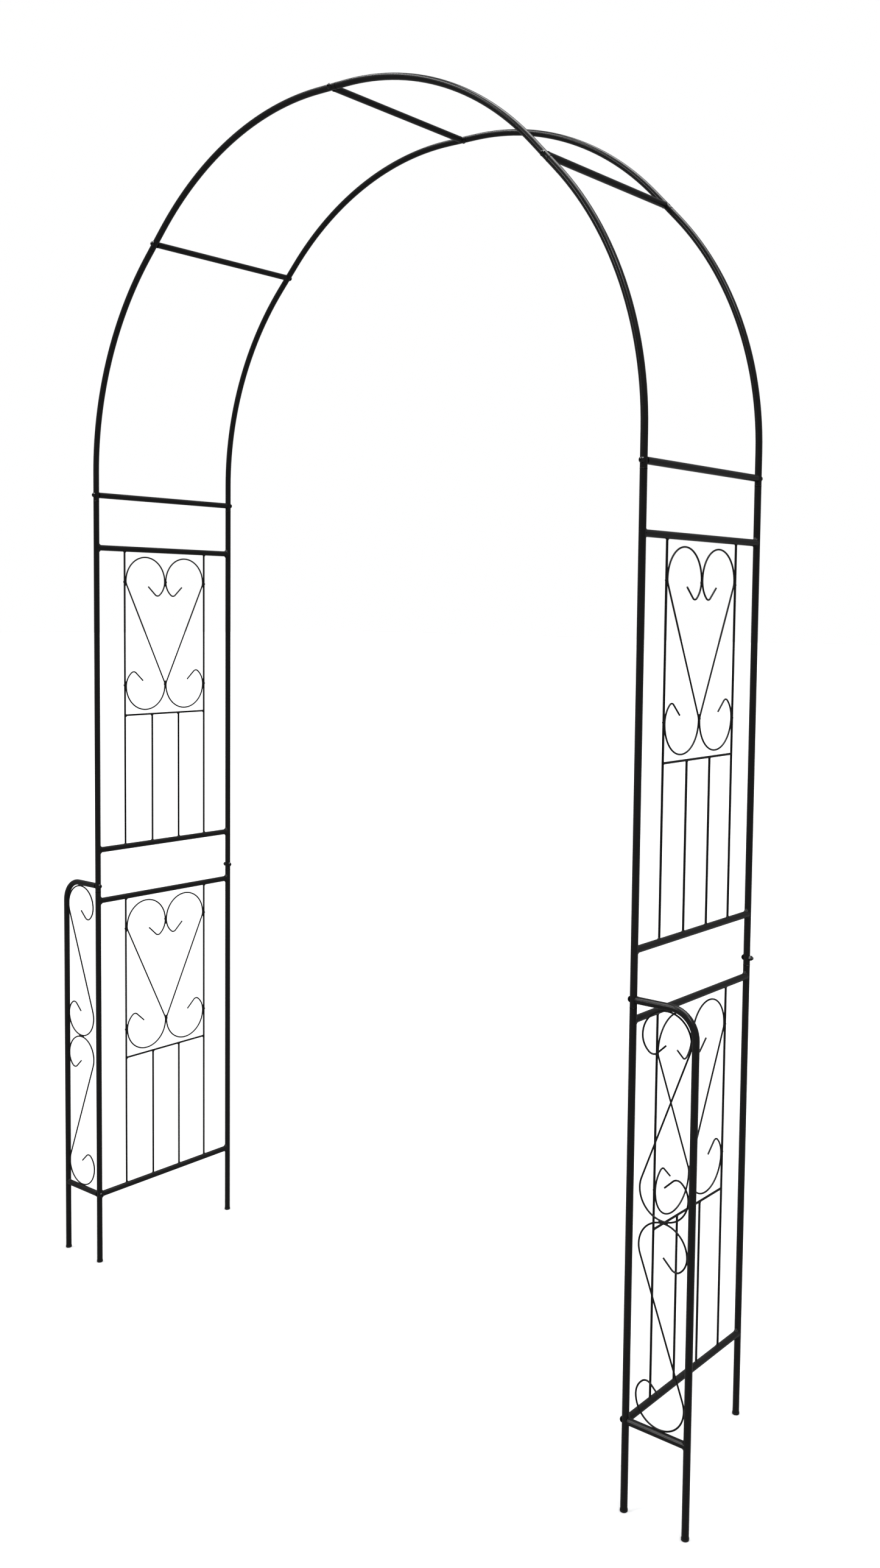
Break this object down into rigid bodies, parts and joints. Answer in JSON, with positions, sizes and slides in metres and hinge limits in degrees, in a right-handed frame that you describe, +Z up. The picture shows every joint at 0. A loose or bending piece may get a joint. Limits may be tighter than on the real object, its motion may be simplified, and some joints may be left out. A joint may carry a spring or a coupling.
{
  "type": "metal trellis arch",
  "caption": "Tall walk-through garden arch of slim black steel tube, with scrollwork side panels and narrow scrolled wings, for climbing plants.",
  "frame": {"origin": "on the ground, midway between the left and right posts and midway between the front and rear hoops", "axes": "+Z up, +X across the walkway from left to right seen from the front, +Y from the front hoop with the wings to the rear hoop"},
  "size_m": [1.631, 0.388, 2.4004],
  "materials": {
    "tube": "satin black powder coat",
    "wire": "satin black powder coat",
    "fasteners": "black coated steel, slightly glossier",
    "foot_cap": "matt black"
  },
  "bodies": {
    "root": {"crossbar_apex": "tube", "crossbar_bolts": "fasteners", "crossbar_inserts": "fasteners", "crossbar_left_haunch": "tube", "crossbar_left_springing": "tube", "crossbar_right_haunch": "tube", "crossbar_right_springing": "tube", "foot_caps": "foot_cap", "front_hoop_left_crown": "tube", "front_hoop_left_haunch": "tube", "front_hoop_right_crown": "tube", "front_hoop_right_haunch": "tube", "left_front_post_lower": "tube", "left_front_post_upper": "tube", "left_lower_cross_wire": "wire", "left_lower_rail_bottom": "tube", "left_lower_rail_top": "tube", "left_lower_scrolls": "wire", "left_lower_uprights": "wire", "left_rear_post_lower": "tube", "left_rear_post_upper": "tube", "left_upper_cross_wire": "wire", "left_upper_rail_bottom": "tube", "left_upper_rail_top": "tube", "left_upper_scrolls": "wire", "left_upper_uprights": "wire", "left_wing_leg": "tube", "left_wing_rail_bottom": "tube", "left_wing_scrolls": "wire", "rear_hoop_left_crown": "tube", "rear_hoop_left_haunch": "tube", "rear_hoop_right_crown": "tube", "rear_hoop_right_haunch": "tube", "rear_leg_bolts": "fasteners", "rear_leg_nuts": "fasteners", "right_front_post_lower": "tube", "right_front_post_upper": "tube", "right_lower_cross_wire": "wire", "right_lower_rail_bottom": "tube", "right_lower_rail_top": "tube", "right_lower_scrolls": "wire", "right_lower_uprights": "wire", "right_rear_post_lower": "tube", "right_rear_post_upper": "tube", "right_upper_cross_wire": "wire", "right_upper_rail_bottom": "tube", "right_upper_rail_top": "tube", "right_upper_scrolls": "wire", "right_upper_uprights": "wire", "right_wing_leg": "tube", "right_wing_rail_bottom": "tube", "right_wing_scrolls": "wire", "wing_bolts": "fasteners", "wing_inserts": "fasteners"}
  },
  "joints": []
}
